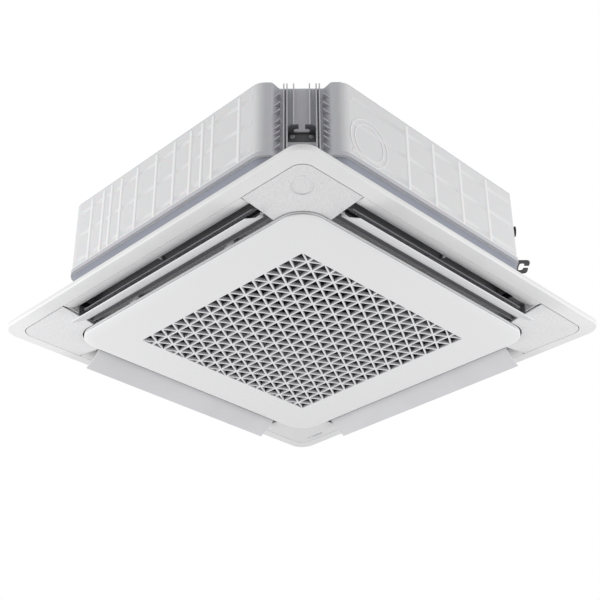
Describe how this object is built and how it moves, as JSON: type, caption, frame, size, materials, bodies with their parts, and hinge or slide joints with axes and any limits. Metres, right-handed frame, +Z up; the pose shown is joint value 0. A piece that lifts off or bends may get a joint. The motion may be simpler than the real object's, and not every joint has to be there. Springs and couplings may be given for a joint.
{
  "type": "ceiling cassette air conditioner",
  "caption": "Square four-way ceiling cassette air conditioner with open vanes, a hinged intake grille with triangular holes, corner covers and a notched white cabinet.",
  "frame": {"origin": "the middle of the unit on the ceiling plane, where the back of the panel's rim meets the ceiling", "axes": "+Z up into the ceiling; front is -Y, right is +X; the pipes leave at the back right corner (+X, +Y)"},
  "size_m": [0.95, 0.95, 0.3173],
  "materials": {
    "white_shell": "matte",
    "galvanised_steel": "satin",
    "white_foam": "matte",
    "grey_pan": "matte",
    "grey_plastic": "satin",
    "motor_paint": "satin",
    "steel": "satin",
    "black_rubber": "matte",
    "aluminium_fins": "satin",
    "copper": "satin",
    "brass": "satin",
    "white_float": "matte",
    "green_board": "satin",
    "cream_plastic": "satin",
    "dark_bracket": "satin",
    "panel_white": "satin",
    "filter_net": "matte",
    "vane_white": "satin",
    "vane_grey": "satin",
    "smoked_window": "satin",
    "button_grey": "satin"
  },
  "bodies": {
    "unit": {"cabinet_shell": "white_shell", "top_plate": "galvanised_steel", "pipe_plate": "galvanised_steel", "control_box": "galvanised_steel", "control_cover": "galvanised_steel", "coil_end_plates": "galvanised_steel", "cabinet_liner": "white_foam", "drain_pan": "grey_pan", "pan_skirt": "grey_pan", "bell_mouth": "grey_plastic", "drain_outlet": "grey_plastic", "drain_pump": "grey_plastic", "float_stem": "grey_plastic", "fan_motor": "motor_paint", "vane_motors": "motor_paint", "bracket_screws": "steel", "panel_screws": "steel", "latch_keepers": "steel", "motor_mounts": "black_rubber", "cable_gland": "black_rubber", "drain_hose": "black_rubber", "outlet_seals": "black_rubber", "coil_fins": "aluminium_fins", "coil_bends": "copper", "gas_pipe": "copper", "liquid_pipe": "copper", "flare_unions": "brass", "control_board": "green_board", "receiver_board": "green_board", "terminal_block": "cream_plastic", "air_sensor": "cream_plastic", "hanger_brackets": "dark_bracket", "panel_frame": "panel_white", "panel_border": "panel_white", "outlet_ducts": "panel_white"},
    "fan": {"turbo_fan": "grey_plastic", "motor_shaft": "steel", "fan_nut": "steel"},
    "impeller": {"pump_impeller": "grey_plastic"},
    "float": {"float_ring": "white_float"},
    "grille": {"intake_grille": "panel_white", "hinge_pins": "steel"},
    "filter": {"filter_frame": "panel_white", "filter_mesh": "filter_net"},
    "latch_left": {"grille_latch_left": "panel_white"},
    "latch_right": {"grille_latch_right": "panel_white"},
    "button": {"test_button": "button_grey"},
    "vane_front": {"main_vane_front": "vane_white"},
    "inner_vane_front": {"second_vane_front": "vane_grey"},
    "vane_right": {"main_vane_right": "vane_white"},
    "inner_vane_right": {"second_vane_right": "vane_grey"},
    "vane_back": {"main_vane_back": "vane_white"},
    "inner_vane_back": {"second_vane_back": "vane_grey"},
    "vane_left": {"main_vane_left": "vane_white"},
    "inner_vane_left": {"second_vane_left": "vane_grey"},
    "cover_front_right": {"corner_cover_front_right": "panel_white"},
    "cover_back_right": {"corner_cover_back_right": "panel_white"},
    "cover_back_left": {"corner_cover_back_left": "panel_white", "receiver_window": "smoked_window"},
    "cover_front_left": {"corner_cover_front_left": "panel_white"}
  },
  "joints": [
    {"name": "fan_spin", "type": "hinge", "parent": "unit", "child": "fan", "pos_m": [0, 0, 0.2], "axis": [0, 0, 1], "continuous": true},
    {"name": "impeller_spin", "type": "hinge", "parent": "unit", "child": "impeller", "pos_m": [0.275, 0.266, 0.08], "axis": [0, 0, 1], "continuous": true},
    {"name": "float_lift", "type": "slide", "parent": "unit", "child": "float", "axis": [0, 0, 1], "range_m": [0, 0.012]},
    {"name": "grille_swing", "type": "hinge", "parent": "unit", "child": "grille", "pos_m": [0, 0.345, -0.028], "axis": [1, 0, 0], "range_deg": [0, 75]},
    {"name": "filter_lift", "type": "slide", "parent": "grille", "child": "filter", "axis": [0, 0, 1], "range_m": [0, 0.012]},
    {"name": "latch_left_slide", "type": "slide", "parent": "grille", "child": "latch_left", "axis": [0, -1, 0], "range_m": [0, 0.005]},
    {"name": "latch_right_slide", "type": "slide", "parent": "grille", "child": "latch_right", "axis": [0, -1, 0], "range_m": [0, 0.005]},
    {"name": "button_press", "type": "slide", "parent": "cover_back_left", "child": "button", "axis": [0, 0, 1], "range_m": [0, 0.001], "stiffness_N_per_m": 300, "springref_m": -0.0005},
    {"name": "vane_front_turn", "type": "hinge", "parent": "unit", "child": "vane_front", "pos_m": [0, -0.38, -0.014], "axis": [1, 0, 0], "range_deg": [-35, 28]},
    {"name": "inner_vane_front_turn", "type": "hinge", "parent": "unit", "child": "inner_vane_front", "pos_m": [0, -0.388, -0.0035], "axis": [1, 0, 0], "range_deg": [-21.5, 17.5]},
    {"name": "vane_right_turn", "type": "hinge", "parent": "unit", "child": "vane_right", "pos_m": [0.38, 0, -0.014], "axis": [0, 1, 0], "range_deg": [-35, 28]},
    {"name": "inner_vane_right_turn", "type": "hinge", "parent": "unit", "child": "inner_vane_right", "pos_m": [0.388, 0, -0.0035], "axis": [0, 1, 0], "range_deg": [-21.5, 17.5]},
    {"name": "vane_back_turn", "type": "hinge", "parent": "unit", "child": "vane_back", "pos_m": [0, 0.38, -0.014], "axis": [-1, 0, 0], "range_deg": [-35, 28]},
    {"name": "inner_vane_back_turn", "type": "hinge", "parent": "unit", "child": "inner_vane_back", "pos_m": [0, 0.388, -0.0035], "axis": [-1, 0, 0], "range_deg": [-21.5, 17.5]},
    {"name": "vane_left_turn", "type": "hinge", "parent": "unit", "child": "vane_left", "pos_m": [-0.38, 0, -0.014], "axis": [0, -1, 0], "range_deg": [-35, 28]},
    {"name": "inner_vane_left_turn", "type": "hinge", "parent": "unit", "child": "inner_vane_left", "pos_m": [-0.388, 0, -0.0035], "axis": [0, -1, 0], "range_deg": [-21.5, 17.5]},
    {"name": "cover_front_right_pull", "type": "slide", "parent": "unit", "child": "cover_front_right", "axis": [0, 0, -1], "range_m": [0, 0.004]},
    {"name": "cover_back_right_pull", "type": "slide", "parent": "unit", "child": "cover_back_right", "axis": [0, 0, -1], "range_m": [0, 0.004]},
    {"name": "cover_back_left_pull", "type": "slide", "parent": "unit", "child": "cover_back_left", "axis": [0, 0, -1], "range_m": [0, 0.004]},
    {"name": "cover_front_left_pull", "type": "slide", "parent": "unit", "child": "cover_front_left", "axis": [0, 0, -1], "range_m": [0, 0.004]}
  ],
  "couplings": [
    {"joint": "inner_vane_front_turn", "follows": "vane_front_turn", "ratio": 0.6},
    {"joint": "inner_vane_right_turn", "follows": "vane_right_turn", "ratio": 0.6},
    {"joint": "inner_vane_back_turn", "follows": "vane_back_turn", "ratio": 0.6},
    {"joint": "inner_vane_left_turn", "follows": "vane_left_turn", "ratio": 0.6}
  ]
}
